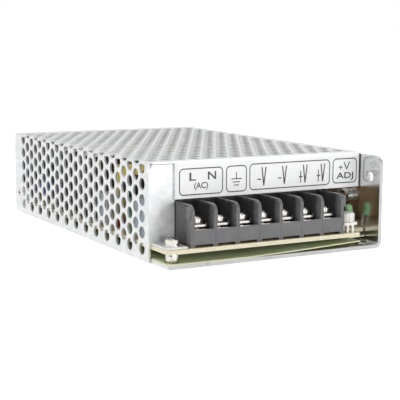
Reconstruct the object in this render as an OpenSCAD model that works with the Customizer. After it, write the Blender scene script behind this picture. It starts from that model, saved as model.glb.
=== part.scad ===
// Enclosed switching power supply: folded perforated cover over an aluminium
// chassis, seven-way barrier terminal block, and the circuit board inside.
// X is the width, Y the length (terminals at -Y), Z up from the mounting face.

/* [Case] */
// Overall width of the case
case_w = 98; // [96:1:110]
// Overall length of the case
case_l = 159; // [156:1:180]
// Overall height of the case
case_h = 38; // [38:1:46]
// Thickness of the aluminium chassis sheet
chassis_t = 1.5; // [1.2:0.1:2]
// Thickness of the steel cover sheet
cover_t = 0.8; // [0.6:0.1:1]
// How far the board ledge sticks out ahead of the cover
ledge_l = 13.2; // [12.5:0.1:16]

/* [Perforation] */
// Diameter of the vent holes
vent_d = 4.6; // [3.6:0.1:5]
// Distance between the centres of neighbouring vent holes
vent_pitch = 6.14; // [6:0.02:7]
// Height of the lowest row of vent holes
vent_z0 = 4.8; // [4:0.1:7]
// Plain margin from the front fold to the first column of vent holes
vent_front = 5.8; // [4:0.1:9]
// Smallest plain margin at the rear
vent_rear = 8; // [6:0.5:14]

/* [Terminal block] */
// Distance between terminals
pole_pitch = 9.65; // [9.4:0.05:10]
// Thickness of the walls between terminals
barrier_t = 1.4; // [1:0.1:1.6]
// Height of the barrier walls above the board
barrier_h = 15.7; // [14.5:0.1:17]
// Height of the front lip above the board
lip_h = 6.6; // [6.2:0.1:7]
// Depth of the terminal block from front to back
block_l = 18; // [17:0.5:20]
// Diameter of the terminal screw shanks
terminal_d = 3.4; // [3:0.1:3.6]
// Diameter of the terminal screw heads
terminal_head_d = 6; // [5.5:0.1:6.4]
// Whole travel of a terminal screw and its clamp washer
terminal_lift = 2.4; // [1.5:0.1:2.6]
// How far the terminal screws are backed off from tight
terminal_rise = 0.8; // [0:0.1:1]

/* [Board] */
// Thickness of the circuit board
board_t = 1.6; // [1.2:0.1:2]
// Height of the underside of the board above the mounting face
board_z = 5.4; // [5:0.1:7]
// Diameter of the spacers under the board
spacer_d = 4.9; // [4.5:0.1:5.5]
// Thickness of the insulating film under the board
film_t = 0.3; // [0.2:0.05:0.4]

/* [Fixings] */
// Diameter of the board and cover screws
screw_d = 3; // [2.5:0.1:3.2]
// Diameter of the tapped mounting holes
mount_d = 3.2; // [3:0.1:4.2]
// Diameter of the plain front mounting holes
ear_hole_d = 3.9; // [3.2:0.1:4.4]

/* [Hidden] */
$fn = 64;
// terminals fit between the left corner flange and the trimmer
end_room = 30;
poles = floor((case_w - end_room) / pole_pitch);

// case planes
x_left = -case_w / 2;
x_right = case_w / 2;
y_front = -case_l / 2;
y_rear = case_l / 2;
fit = 0.1;
slack = 0.3;
eps = 0.01;
// chassis
side_x = x_left + cover_t + fit;
chassis_bend = 2.5;
wall_z = case_h - cover_t - 0.1;
wall_nose_r = 3.6;
rear_wall_y = y_rear - cover_t - fit;
ear_y = 17;
ear_h = 13;
ear_inner = side_x + chassis_t + slack;
ear_front = y_rear - ear_y - slack;
// cover
cover_right = x_right - chassis_t - 0.5;
cover_bottom = 0.3;
cover_bend = 1.2;
label_y = y_front + ledge_l;
corner_y = label_y + cover_t + 0.15;
label_left = x_left + 10.5;
label_bottom = 23.6;
corner_w = 10.8;
flange_drop = 9;
vent_y0 = label_y + cover_t + vent_front;
vent_step = vent_pitch * sqrt(3);
vent_cols = floor((y_rear - vent_rear - vent_d / 2 - vent_y0) / vent_step) + 1;
// board stack
board_top = board_z + board_t;
board_left = x_left + cover_t + 0.2;
board_right = x_right - chassis_t - 0.5;
board_front = y_front + 0.5;
board_rear = rear_wall_y - chassis_t - 1.5;
notch_x = 10.5;
notch_y = 8.7;
corner_spacer = [x_left + 5, y_front + 5];
middle_spacer = [8, y_front + 25];
spacer_back = 10;
spacer_xy = [
    corner_spacer,
    middle_spacer,
    [x_left + 6, y_rear - spacer_back],
    [x_right - 8, y_rear - spacer_back]
];
foot_l = 12.4;
foot_w = 8.5;
washer_t = 0.5;
spring_t = 0.7;
pan_d = 5.2;
pan_h = 2.1;
// cover fixings
cover_screw_z = case_h - 5;
side_screw_y = [y_front + 34, y_rear - 22];
rear_screw_x = [x_left + 20, x_right - 20];
ear_screw = [y_rear - 5, ear_h - 3.5];
countersink_d = 5;
cover_screw_l = 4.5;
// terminal block
block_side = 11.8;
block_front = 1.4;
block_x = x_left + block_side;
block_y = y_front + block_front;
block_end = block_x + poles * pole_pitch;
barrier_z = board_top + barrier_h;
bay_floor_h = 4.9;
floor_z = board_top + bay_floor_h;
lip_t = 1.3;
plate_t = 1.2;
plate_w = 7;
plate_y = block_y + 2.2;
plate_end = block_y + block_l - 3;
pin_w = 1.2;
pin_t = 0.8;
pin_y = plate_end - pin_t;
screw_back = 7;
screw_y = block_y + screw_back;
washer_z = floor_z + plate_t + fit + terminal_rise;
clamp_t = 0.9;
lip_gap = 0.15;
clamp_w = terminal_head_d + 1.2;
head_z = washer_z + clamp_t + fit;
head_h = 2.9;
shank_l = terminal_lift + 3.2;
well_d = terminal_d + 1.2;
well_z = head_z - shank_l - terminal_rise - fit;
// trimmer and indicator
trimmer_xy = [x_right - 14.3, y_front + 4.2];
trimmer_lift = 3.1;
trimmer_z = board_top + trimmer_lift;
trimmer_w = 6.4;
trimmer_t = 1.1;
knob_h = 3.6;
rotor_d = 6;
led_xy = [x_right - 4.8, y_front + 13.7];
led_d = 3;
led_lift = 4.5;
led_lean = 10;
lead_d = 0.5;
// packages clamped to the right wall
pad_t = 0.3;
tab_t = 1.3;
package_w = 10;
package_l = 7.8;
package_t = 4.4;
package_z = board_top + 1.8;
package_hole_z = package_z + 12;
package_tab_h = 7.6;
pad_w = 10.8;
pad_l = label_bottom - slack - package_z + 1;
rectifier_y = y_front + 30.8;
clip_screw = [y_front + 20, board_top + 12.3];
clip_t = 0.8;
clip_w = 5;
transistor_y = [y_front + 62, y_front + 80];
package_y = concat([rectifier_y], transistor_y);
inner_screws = [clip_screw, [transistor_y[0], package_hole_z], [transistor_y[1], package_hole_z]];
// mounting holes
mount_xy = [for (x = [x_left + 17, x_right - 17], y = [y_front + 19.5, y_rear - 19.5]) [x, y]];
ear_hole_xy = [[x_right - 6, y_front + 4.2], [x_right - 6, y_rear - 6.5]];
wall_hole_z = 28.3;
wall_hole_y = [y_front + 6.3, y_rear - 6.3];
side_mount_z = 12.5;
side_mount_y = [y_front + 35, y_rear - 19.5];
// vents
vent_reach = vent_d / 2;
side_rows = floor((case_h + vent_reach - vent_z0) / vent_pitch) + 1;
top_end = cover_right - x_left - 3.4;
vent_total_cols = 2 * vent_cols - 1;
// clear height under the top of the cover
lid_gap = 2;
can_gap = 3.2;
// input side
fuse_xy = [-12, y_front + 26];
x_cap_xy = [x_left + 18, y_front + 58.5];
front_cap_xy = [x_left + 7, y_front + 28.5];
rear_cap_xy = [x_left + 7, y_front + 65];
varistor_xy = [x_left + 7, y_front + 37.5];
thermistor_xy = [x_left + 7.5, y_front + 43];
line_choke_xy = [x_left + 36, y_front + 44];
x_cap_size = [12, 25.6, 23.4];
front_cap_size = [7.5, 9, 15.2];
rear_cap_size = [6.5, 11, 12.5];
film_cap_lift = 0.4;
bulk_d = 22;
bulk_h = case_h - cover_t - board_top - can_gap;
bulk_side = 14.5;
bulk_pitch = 24.5;
bulk_y = y_front + 88;
bulk_xy = [[x_left + bulk_side, bulk_y], [x_left + bulk_side, bulk_y + bulk_pitch]];
// rear left: what follows the second bulk capacitor shares the length that is left
bulk_end = bulk_y + bulk_pitch + bulk_d / 2;
rear_room = rear_wall_y - chassis_t - bulk_end;
y_cap_xy = [x_left + 5.8, bulk_end + 0.24 * rear_room];
bridge_xy = [x_left + 18, bulk_end + 0.515 * rear_room];
bridge_size = [20, 4, 15];
// power stage
transformer_xy = [0, y_front + 88];
core_w = 33;
core_l = 11;
core_lift = 1.2;
core_h = case_h - cover_t - board_top - core_lift - lid_gap;
limb_w = 8;
yoke_h = 4.5;
bobbin_base_w = 28;
bobbin_w = 26;
bobbin_flange_t = 1;
winding_size = [22, 25];
winding_r = 4;
window_w = (core_w - limb_w) / 2 - 3.3;
output_choke_xy = [x_right - 21, y_front + 36];
toroid_d = 24;
toroid_bore = 13;
toroid_h = 16;
wire_d = 1.2;
turns = 20;
output_can_d = 10;
output_can_h = 22;
output_cap_xy = [for (i = [0:2]) [x_right - 14, y_front + 58 + i * 12.5]];
// control side: shares the length between the transformer and the rear of the board
control_start = transformer_xy[1] + bobbin_base_w / 2;
control_room = board_rear - control_start;
chip_xy = [12, control_start + 0.32 * control_room];
coupler_xy = [22, control_start + 0.207 * control_room];
small_can_d = 6.3;
small_can_h = 11;
small_can_places = [[28, 0.51], [34, 0.66], [11, 0.546]];
// resistors: across, share of the control length, body length
resistor_places = [[0, 0.66, 12], [-6, 0.433, 12], [22, 0.772, 9], [-20, 0.81, 10]];
resistor_d = 3;

function terminal_x(i) = block_x + (i - 0.5) * pole_pitch;

// ---------- shared shapes ----------

module rounded_rect(w, h, r) {
    square([w - 2 * r, h], center = true);
    square([w, h - 2 * r], center = true);
    for (x = [-1, 1], y = [-1, 1]) {
        translate([x * (w / 2 - r), y * (h / 2 - r)]) circle(r = r);
    }
}

// Upright block with rounded vertical edges, standing on z = 0
module rounded_block(w, l, h, r) {
    linear_extrude(h) rounded_rect(w, l, r);
}

// Domed screw head on z = 0 with a cross recess
module pan_head(d, h) {
    dome_r = (d * d / 4 + h * h / 4) / h;
    difference() {
        intersection() {
            cylinder(d = d, h = h);
            translate([0, 0, h - dome_r * 1.35]) sphere(r = dome_r * 1.35);
        }
        for (turn = [0, 90]) {
            rotate(turn) translate([-d * 0.32, -d * 0.07, h * 0.4]) cube([d * 0.64, d * 0.14, h]);
        }
    }
}

module pan_screw(d, l, head_d, head_h) {
    pan_head(head_d, head_h);
    translate([0, 0, -l]) cylinder(d = d, h = l + eps);
}

// Flat countersunk screw, head face at z = 0, pointing down
module flat_screw(d, l, head_d) {
    difference() {
        union() {
            translate([0, 0, -(head_d - d) / 2]) cylinder(d1 = d, d2 = head_d, h = (head_d - d) / 2);
            translate([0, 0, -l]) cylinder(d = d, h = l - (head_d - d) / 2 + eps);
        }
        for (turn = [0, 90]) {
            rotate(turn) translate([-head_d * 0.3, -0.35, -0.8]) cube([head_d * 0.6, 0.7, 1]);
        }
    }
}

// Cut for a flat_screw: clearance hole and a cone that follows its head
module countersunk_hole(d, depth, head_d) {
    seat = (head_d - d) / 2;
    translate([0, 0, -depth]) cylinder(d = d + 2 * fit, h = depth + 1);
    translate([0, 0, -seat]) cylinder(d1 = d + 2 * fit, d2 = head_d + 2 * fit, h = seat);
    translate([0, 0, -eps]) cylinder(d = head_d + 2 * fit, h = 1);
}

module ring(outer_d, inner_d, h) {
    linear_extrude(h) difference() {
        circle(d = outer_d);
        circle(d = inner_d);
    }
}

// Wire leads from a part's underside down to the board
module leads(points, top) {
    for (p = points) {
        translate([p[0], p[1], board_top]) cylinder(d = 0.8, h = top - board_top + eps, $fn = 24);
    }
}

// Electrolytic can: rolled rim, crimp groove near the foot, scored vent on top
module can(d, h) {
    difference() {
        union() {
            cylinder(d = d, h = h - 0.8);
            cylinder(d = d - 1.6, h = h);
            translate([0, 0, h - 0.8]) rotate_extrude() translate([d / 2 - 0.8, 0]) circle(r = 0.8);
        }
        translate([0, 0, 2.4]) rotate_extrude() translate([d / 2 + 0.45, 0]) circle(r = 0.9);
        for (turn = [0, 60, 120]) {
            rotate(turn) translate([-d * 0.32, -0.15, h - 0.25]) cube([d * 0.64, 0.3, 1]);
        }
    }
}

// Upright disc-shaped part on two leads, face normal along Y
module disc_part(d, t, centre_z) {
    translate([0, 0, centre_z]) rotate([90, 0, 0]) {
        translate([0, 0, -t / 2]) intersection() {
            cylinder(d = d, h = t);
            translate([0, 0, t / 2]) lens(d, t);
        }
    }
    leads([[-d * 0.28, 0], [d * 0.28, 0]], centre_z - d * 0.3);
}

module lens(d, t) {
    r = (d * d / 4 + t * t / 16) / (t / 2);
    intersection() {
        translate([0, 0, -r + t / 2]) sphere(r = r);
        translate([0, 0, r - t / 2]) sphere(r = r);
    }
}

// Three-legged power package against the right wall: body, tab, legs
module power_package(y) {
    pad_x = x_right - chassis_t - pad_t;
    difference() {
        union() {
            translate([pad_x - package_t, y - package_w / 2, package_z]) {
                cube([package_t - eps, package_w, package_l]);
            }
            translate([pad_x - tab_t, y - package_w / 2, package_z]) {
                cube([tab_t, package_w, package_l + package_tab_h]);
            }
        }
        translate([pad_x - 2, y, package_hole_z]) rotate([0, 90, 0]) cylinder(d = screw_d + 0.5, h = 3);
    }
    for (i = [-1:1]) {
        translate([pad_x - 2.8, y + i * 2.54 - 0.4, board_top]) {
            cube([0.6, 0.8, package_z - board_top + eps]);
        }
    }
}

// ---------- case ----------

module chassis_section() {
    // base, right wall and the bend between them
    translate([side_x, 0]) square([x_right - chassis_bend - side_x, chassis_t]);
    translate([x_right - chassis_t, chassis_bend]) square([chassis_t, wall_z - chassis_bend]);
    translate([x_right - chassis_bend, chassis_bend]) difference() {
        circle(r = chassis_bend);
        circle(r = chassis_bend - chassis_t);
        translate([-chassis_bend * 2, -chassis_bend]) square([chassis_bend * 2, chassis_bend * 2]);
        translate([-chassis_bend, 0]) square([chassis_bend * 2, chassis_bend * 2]);
    }
}

// The five flat screws that hold the cover: two right, two rear, one low at the left rear
module cover_screw_places() {
    for (y = side_screw_y) translate([x_right, y, cover_screw_z]) rotate([0, 90, 0]) children();
    for (x = rear_screw_x) translate([x, y_rear, cover_screw_z]) rotate([-90, 0, 0]) children();
    translate([x_left, ear_screw[0], ear_screw[1]]) rotate([0, -90, 0]) children();
}

module chassis() {
    color("#c9cbcd") difference() {
        union() {
            translate([0, rear_wall_y, 0]) rotate([90, 0, 0]) {
                linear_extrude(rear_wall_y - y_front) chassis_section();
            }
            // rear wall folded up from the base
            translate([side_x, rear_wall_y - chassis_t, eps]) {
                cube([x_right - chassis_t - 0.2 - side_x, chassis_t, wall_z - 1 - eps]);
            }
            // ear folded up at the left rear that carries the cover
            translate([side_x, y_rear - ear_y, eps]) {
                cube([chassis_t, ear_y - (y_rear - rear_wall_y) - eps, ear_h]);
            }
        }
        // rounded nose of the right wall
        translate([x_right - chassis_t - 1, y_front, wall_z]) rotate([0, 90, 0]) {
            linear_extrude(chassis_t + 2) difference() {
                translate([-eps, -1]) square([wall_nose_r + eps, wall_nose_r + 1]);
                translate([wall_nose_r, wall_nose_r]) circle(r = wall_nose_r);
            }
        }
        for (p = mount_xy) translate([p[0], p[1], -1]) cylinder(d = mount_d, h = chassis_t + 2);
        for (p = ear_hole_xy) translate([p[0], p[1], -1]) cylinder(d = ear_hole_d, h = chassis_t + 2);
        for (y = wall_hole_y) {
            translate([x_right - chassis_t - 1, y, wall_hole_z]) rotate([0, 90, 0]) {
                cylinder(d = ear_hole_d, h = chassis_t + 2);
            }
        }
        for (y = side_mount_y) {
            translate([x_right - chassis_t - 1, y, side_mount_z]) rotate([0, 90, 0]) {
                cylinder(d = mount_d, h = chassis_t + 2);
            }
        }
        for (p = inner_screws) {
            translate([x_right - chassis_t - 1, p[0], p[1]]) rotate([0, 90, 0]) {
                cylinder(d = screw_d + 2 * fit, h = chassis_t + 2);
            }
        }
        cover_screw_places() countersunk_hole(screw_d, cover_screw_l, countersink_d);
    }
}

// Vent hole centres along the unfolded sheet: even columns start at the lowest row
function vent_u(col, row) = vent_z0 + (row + (col % 2) / 2) * vent_pitch;
function vent_y(col) = vent_y0 + col * vent_step / 2;

module side_vents() {
    for (col = [0:vent_total_cols - 1], row = [0:side_rows]) {
        if (vent_u(col, row) < case_h + vent_d / 2) {
            translate([vent_y(col), vent_u(col, row)]) circle(d = vent_d, $fn = 32);
        }
    }
}

module top_vents() {
    for (col = [0:vent_total_cols - 1], row = [0:floor(top_end / vent_pitch) + side_rows]) {
        across = vent_u(col, row) - case_h;
        if (across > -vent_d / 2 && across < top_end) {
            translate([x_left + across, vent_y(col)]) circle(d = vent_d, $fn = 32);
        }
    }
}

module cover_bend_strip() {
    // fold between the side wall and the top, pierced where vent holes cross it
    difference() {
        translate([x_left + cover_bend, y_rear, case_h - cover_bend]) rotate([90, 0, 0]) {
            linear_extrude(y_rear - label_y) difference() {
                circle(r = cover_bend);
                circle(r = cover_bend - cover_t);
                translate([0, -cover_bend]) square(cover_bend * 2);
                translate([-cover_bend, -cover_bend * 2]) square(cover_bend * 2);
            }
        }
        for (col = [0:vent_total_cols - 1], row = [side_rows - 2:side_rows + 1]) {
            over = vent_u(col, row) - case_h;
            reach = vent_d / 2;
            if (abs(over) < reach) {
                width = 2 * sqrt(reach * reach - over * over);
                translate([x_left - 1, vent_y(col) - width / 2, case_h - cover_bend - eps]) {
                    cube([cover_bend + 1 + eps, width, cover_bend + 1]);
                }
            }
        }
    }
}

module mesh_cover() {
    color("#c4c7ca") difference() {
        union() {
            // side wall
            translate([x_left, 0, 0]) rotate([90, 0, 90]) linear_extrude(cover_t) difference() {
                translate([corner_y, cover_bottom]) {
                    square([y_rear - corner_y, case_h - cover_bend - cover_bottom]);
                }
                side_vents();
            }
            // top
            translate([0, 0, case_h - cover_t]) linear_extrude(cover_t) difference() {
                translate([x_left + cover_bend, label_y]) {
                    square([cover_right - x_left - cover_bend, y_rear - label_y]);
                }
                top_vents();
            }
            cover_bend_strip();
            // front flange that carries the label
            translate([label_left, label_y, label_bottom]) {
                cube([cover_right - label_left, cover_t, case_h - label_bottom - eps]);
            }
            // corner flange folded round from the side wall, with its foot on the board
            translate([x_left + eps, corner_y, board_top + eps]) {
                cube([corner_w, cover_t, case_h - cover_t - board_top - 0.3]);
            }
            translate([board_left + 0.2, corner_y - foot_l, board_top]) {
                cube([foot_w, foot_l + cover_t, cover_t]);
            }
            // right flange inside the chassis wall
            translate([cover_right - cover_t, label_y + 1.5, case_h - flange_drop]) {
                cube([cover_t, y_rear - label_y - 14, flange_drop - eps]);
            }
            // rear flange outside the rear wall
            translate([x_left + eps, y_rear - cover_t, case_h - flange_drop]) {
                cube([cover_right - x_left - 1, cover_t, flange_drop - eps]);
            }
        }
        translate([spacer_xy[0][0], spacer_xy[0][1], 0]) cylinder(d = screw_d + 2 * fit, h = board_top + 2);
        // relief cut at the corner between the fold lines
        translate([x_left - 1, label_y - 1, case_h - 2.2]) cube([2.2, 1 + cover_t + 0.9, 3]);
        cover_screw_places() countersunk_hole(screw_d, cover_screw_l, countersink_d);
    }
}

module terminal_label() {
    label_t = 0.15;
    color("#eceef0") translate([(label_left + cover_right) / 2, label_y, (label_bottom + case_h - 1) / 2]) {
        rotate([90, 0, 0]) linear_extrude(label_t) {
            rounded_rect(cover_right - label_left - 0.8, case_h - label_bottom - 1.6, 0.5);
        }
    }
}

// ---------- fixings ----------

module corner_screw() {
    stack = board_top + cover_t + washer_t + spring_t;
    color("#d8d4c8") translate([spacer_xy[0][0], spacer_xy[0][1], stack]) {
        pan_screw(screw_d - 2 * fit, stack - board_z + 2.5, pan_d, pan_h);
    }
}

module corner_washers() {
    bore = screw_d + 2 * fit;
    color("#c8c6be") translate([spacer_xy[0][0], spacer_xy[0][1], board_top + cover_t]) {
        ring(5.8, bore, washer_t);
        // split spring washer
        translate([0, 0, washer_t]) difference() {
            ring(5, bore, spring_t);
            rotate(-70) translate([0, -0.25, -1]) cube([4, 0.5, 3]);
        }
    }
}

module cover_screws() {
    color("#c8c6be") cover_screw_places() flat_screw(screw_d, cover_screw_l, countersink_d);
}

module board_screws() {
    color("#d8d4c8") for (i = [1:3]) {
        translate([spacer_xy[i][0], spacer_xy[i][1], board_top]) {
            pan_screw(screw_d - 2 * fit, board_t + 2.5, pan_d, pan_h);
        }
    }
}

module board_spacers() {
    color("#cfcac0") for (p = spacer_xy) {
        translate([p[0], p[1], chassis_t]) ring(spacer_d, screw_d, board_z - chassis_t);
    }
}

// ---------- board and film ----------

module board_outline(left, right, front, rear) {
    difference() {
        translate([left, front]) square([right - left, rear - front]);
        translate([x_right - notch_x, front - 1]) square([notch_x, notch_y + 1]);
        // clear of the ear at the left rear
        translate([left - 1, ear_front]) square([ear_inner - left + 1, rear - ear_front + 1]);
    }
}

module insulating_film() {
    // lies on the base at the left and curls up under the right of the board
    flat_end = x_left + 30;
    rise = 2;
    span = board_right - flat_end;
    curl = [for (i = [0:12]) [flat_end + span * i / 12, rise * (1 - cos(90 * i / 12 * 1.6)) / 1.81]];
    color("#dfe6d8") difference() {
        translate([0, board_rear, chassis_t]) rotate([90, 0, 0]) linear_extrude(board_rear - board_front) {
            polygon(concat(
                [[board_left + 0.3, 0]],
                [for (p = curl) [p[0], max(p[1], 0)]],
                [for (i = [12:-1:0]) [curl[i][0], max(curl[i][1], 0) + film_t]],
                [[board_left + 0.3, film_t]]
            ));
        }
        translate([x_right - notch_x + 0.5, board_front - 1, 0]) cube([notch_x, notch_y, board_z]);
        translate([board_left, ear_front, 0]) {
            cube([ear_inner - board_left, board_rear - ear_front + 1, board_z]);
        }
        for (p = spacer_xy) translate([p[0], p[1], 0]) cylinder(d = spacer_d + 1.2, h = board_z);
    }
}

module circuit_board() {
    color("#d9c07a") translate([0, 0, board_z]) linear_extrude(board_t) difference() {
        board_outline(board_left, board_right, board_front, board_rear);
        for (p = spacer_xy) translate(p) circle(d = screw_d + 0.4);
        for (i = [1:poles]) translate([terminal_x(i), pin_y + pin_t / 2]) {
            square([pin_w + 0.4, pin_t + 0.4], center = true);
        }
    }
}

// ---------- terminals ----------

module barrier_profile() {
    nose = 3;
    difference() {
        translate([block_y, board_top]) square([block_l, barrier_h]);
        translate([block_y, barrier_z - nose]) difference() {
            translate([-1, 0]) square([nose + 1, nose + 1]);
            translate([nose, 0]) circle(r = nose);
        }
    }
}

module terminal_block() {
    half = barrier_t / 2;
    notch_h = 1;
    color("#3b3b40") difference() {
        union() {
            translate([block_x - half, block_y, board_top]) {
                cube([block_end - block_x + barrier_t, block_l, floor_z - board_top]);
                cube([block_end - block_x + barrier_t, lip_t, lip_h]);
            }
            translate([block_x - half, block_y + block_l - lip_t, board_top]) {
                cube([block_end - block_x + barrier_t, lip_t, barrier_h]);
            }
            for (i = [0:poles]) {
                translate([block_x + i * pole_pitch - half, 0, 0]) rotate([90, 0, 90]) {
                    linear_extrude(barrier_t) barrier_profile();
                }
            }
            // raised end panels
            translate([block_x - half - 0.5, block_y + 0.5, barrier_z - 5]) cube([0.5 + eps, 9.5, 4.4]);
            translate([block_end + half - eps, block_y + 0.5, barrier_z - 5]) cube([1.2, 3, 4.4]);
        }
        for (i = [1:poles]) {
            // relief under each bay, between the feet
            translate([terminal_x(i) - pole_pitch / 2 + 1, block_y - 1, board_top - eps]) {
                cube([pole_pitch - 2, block_l - 4, notch_h]);
            }
            translate([terminal_x(i), screw_y, well_z]) cylinder(d = well_d, h = floor_z);
            translate([terminal_x(i) - pin_w / 2 - 0.2, pin_y - 0.2, board_top - 1]) {
                cube([pin_w + 0.4, pin_t + 0.4, floor_z - board_top + 2]);
            }
        }
    }
}

module terminal_plates() {
    color("#cfc8bc") for (i = [1:poles]) {
        translate([terminal_x(i), 0, floor_z]) difference() {
            translate([-plate_w / 2, plate_y, 0]) cube([plate_w, plate_end - plate_y, plate_t]);
            translate([0, screw_y, -1]) cylinder(d = terminal_d + 2 * fit, h = plate_t + 2);
        }
        translate([terminal_x(i) - pin_w / 2, pin_y, board_z - 1]) {
            cube([pin_w, pin_t, floor_z - board_z + 1 + eps]);
        }
    }
}

// Square clamp washer with turned-up edges that keep it from spinning
module clamp_washer(i) {
    edge_t = (clamp_w - terminal_head_d) / 2 - lip_gap;
    color("#cfc8bc") translate([terminal_x(i), screw_y, washer_z]) difference() {
        union() {
            rounded_block(clamp_w, clamp_w, clamp_t, 1);
            for (side = [-1, 1]) {
                translate([side * (terminal_head_d + clamp_w + 2 * lip_gap) / 4, 0, clamp_t * 0.75 + 0.25]) {
                    cube([edge_t, clamp_w - 2.4, clamp_t / 2 + 0.5], center = true);
                }
            }
        }
        translate([0, 0, -1]) cylinder(d = terminal_d + 0.5, h = clamp_t + 2);
    }
}

module terminal_screw(i) {
    color("#d6d0c6") translate([terminal_x(i), screw_y, head_z]) {
        pan_screw(terminal_d, shank_l, terminal_head_d, head_h);
    }
}

// ---------- front controls ----------

module trimmer_base() {
    color("#efece4") translate([trimmer_xy[0], trimmer_xy[1], trimmer_z]) {
        difference() {
            rounded_block(trimmer_w, trimmer_w, trimmer_t, 0.8);
            translate([0, 0, 0.5]) cylinder(d = 2.4 + 2 * fit, h = 2);
        }
        for (p = [[-1.2, -2.2], [1.2, -2.2], [0, 2.2]]) {
            translate([p[0] - 0.5, p[1] - 0.4, -trimmer_lift]) cube([1, 0.8, trimmer_lift + eps]);
        }
    }
}

module trimmer_rotor() {
    color("#f4f2ec") translate([trimmer_xy[0], trimmer_xy[1], trimmer_z + trimmer_t + fit]) difference() {
        union() {
            cylinder(d = rotor_d - 0.8, h = knob_h);
            for (turn = [0:45:135]) {
                rotate(turn) translate([-rotor_d / 2, -0.7, 0]) cube([rotor_d, 1.4, knob_h - 0.4]);
            }
            translate([0, 0, -0.6]) cylinder(d = 2.4, h = 1);
        }
        for (turn = [0, 90]) rotate(turn) translate([-1.7, -0.35, knob_h - 1.2]) cube([3.4, 0.7, 2]);
    }
}

// The indicator leans away from the wall on its leads
module led_place() {
    translate([led_xy[0], led_xy[1], board_top]) rotate([0, -led_lean, 0]) children();
}

module indicator_led() {
    color("#3fae5a") led_place() translate([0, 0, led_lift]) {
        cylinder(d = led_d + 0.8, h = 0.9);
        cylinder(d = led_d, h = 3.6);
        translate([0, 0, 3.6]) sphere(d = led_d);
    }
}

module led_leads() {
    color("#c8c8c4") intersection() {
        led_place() for (side = [-1, 1]) translate([side * 1.27, 0, -1]) {
            cylinder(d = lead_d, h = led_lift + 1, $fn = 24);
        }
        translate([led_xy[0] - 5, led_xy[1] - 5, board_top]) cube([10, 10, 10]);
    }
}

// ---------- input side ----------

module fuse_tube() {
    tube_l = 16;
    color("#e8e8e2") translate([fuse_xy[0] - tube_l / 2, fuse_xy[1], board_top + 5]) {
        rotate([0, 90, 0]) cylinder(d = 5, h = tube_l);
    }
}

module fuse_clips() {
    color("#c8c6be") for (side = [-1, 1]) {
        translate([fuse_xy[0] + side * 10.3, fuse_xy[1], board_top]) {
            translate([0, 0, 5]) rotate([0, 90, 0]) translate([0, 0, -2.3]) ring(5.2, 3.6, 4.6);
            translate([-2, -0.8, 0]) cube([4, 1.6, 2.9]);
        }
    }
}

module x_capacitor() {
    color("#e3cf3a") translate([x_cap_xy[0], x_cap_xy[1], board_top]) {
        translate([0, 0, film_cap_lift]) rounded_block(x_cap_size.x, x_cap_size.y, x_cap_size.z, 1);
        for (side = [-1, 1]) translate([0, side * 11, 0]) cylinder(d = 0.8, h = 1, $fn = 24);
    }
}

module front_film_capacitor() {
    color("#a9bcc9") translate([front_cap_xy[0], front_cap_xy[1], board_top]) {
        translate([0, 0, film_cap_lift]) {
            rounded_block(front_cap_size.x, front_cap_size.y, front_cap_size.z, 0.8);
        }
        for (side = [-1, 1]) translate([0, side * 3.5, 0]) cylinder(d = 0.8, h = 1, $fn = 24);
    }
}

module rear_film_capacitor() {
    color("#a9bcc9") translate([rear_cap_xy[0], rear_cap_xy[1], board_top]) {
        translate([0, 0, film_cap_lift]) {
            rounded_block(rear_cap_size.x, rear_cap_size.y, rear_cap_size.z, 0.8);
        }
        for (side = [-1, 1]) translate([0, side * 4.5, 0]) cylinder(d = 0.8, h = 1, $fn = 24);
    }
}

module varistor() {
    color("#3f7a46") translate([varistor_xy[0], varistor_xy[1], 0]) disc_part(10, 4, board_top + 10.6);
}

module thermistor() {
    color("#2a2d2c") translate([thermistor_xy[0], thermistor_xy[1], 0]) disc_part(11, 4.6, board_top + 17.6);
}

module line_choke_core() {
    color("#4a4a4c") translate([line_choke_xy[0], line_choke_xy[1], board_top + 1]) difference() {
        translate([-8, -5, 0]) cube([16, 10, 20]);
        translate([-4, -6, 4]) cube([8, 12, 12]);
    }
}

module line_choke_windings() {
    // one section-wound coil round each upright limb
    color("#b4653a") translate([line_choke_xy[0], line_choke_xy[1], board_top + 5.3]) for (side = [-1, 1]) {
        translate([side * 6, 0, 0]) for (level = [0:4]) {
            translate([0, 0, level * 2.3]) linear_extrude(2) difference() {
                rounded_rect(6.8, 13, 1.5);
                square([4.2, 10.2], center = true);
            }
        }
    }
    color("#2b2b2b") translate([line_choke_xy[0] - 10, line_choke_xy[1] - 7, board_top]) cube([20, 14, 0.9]);
}

module bulk_capacitors() {
    color("#33323c") for (p = bulk_xy) translate([p[0], p[1], board_top]) can(bulk_d, bulk_h);
}

module bridge_rectifier() {
    color("#2c2a2a") translate([bridge_xy[0], bridge_xy[1], board_top + 3]) {
        difference() {
            translate([-bridge_size[0] / 2, -bridge_size[1] / 2, 0]) cube(bridge_size);
            translate([-bridge_size[0] / 2 - 1, 0, bridge_size[2]]) rotate([0, -45, 0]) {
                translate([0, -3, 0]) cube([3, 6, 4]);
            }
            translate([0, 3, bridge_size[2] - 5]) rotate([90, 0, 0]) cylinder(d = 3.4, h = 6);
        }
        for (x = [-7.6, -2.5, 2.5, 7.6]) translate([x - 0.5, -0.4, -3]) cube([1, 0.8, 3 + eps]);
    }
}

module y_capacitor() {
    color("#2f74c0") translate([y_cap_xy[0], y_cap_xy[1], 0]) disc_part(8, 3.6, board_top + 7);
}

module snubber_capacitor() {
    color("#a8322c") translate([x_left + 5.5, y_front + 52, 0]) disc_part(5, 2.6, board_top + 3);
}

// ---------- power stage ----------

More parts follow.
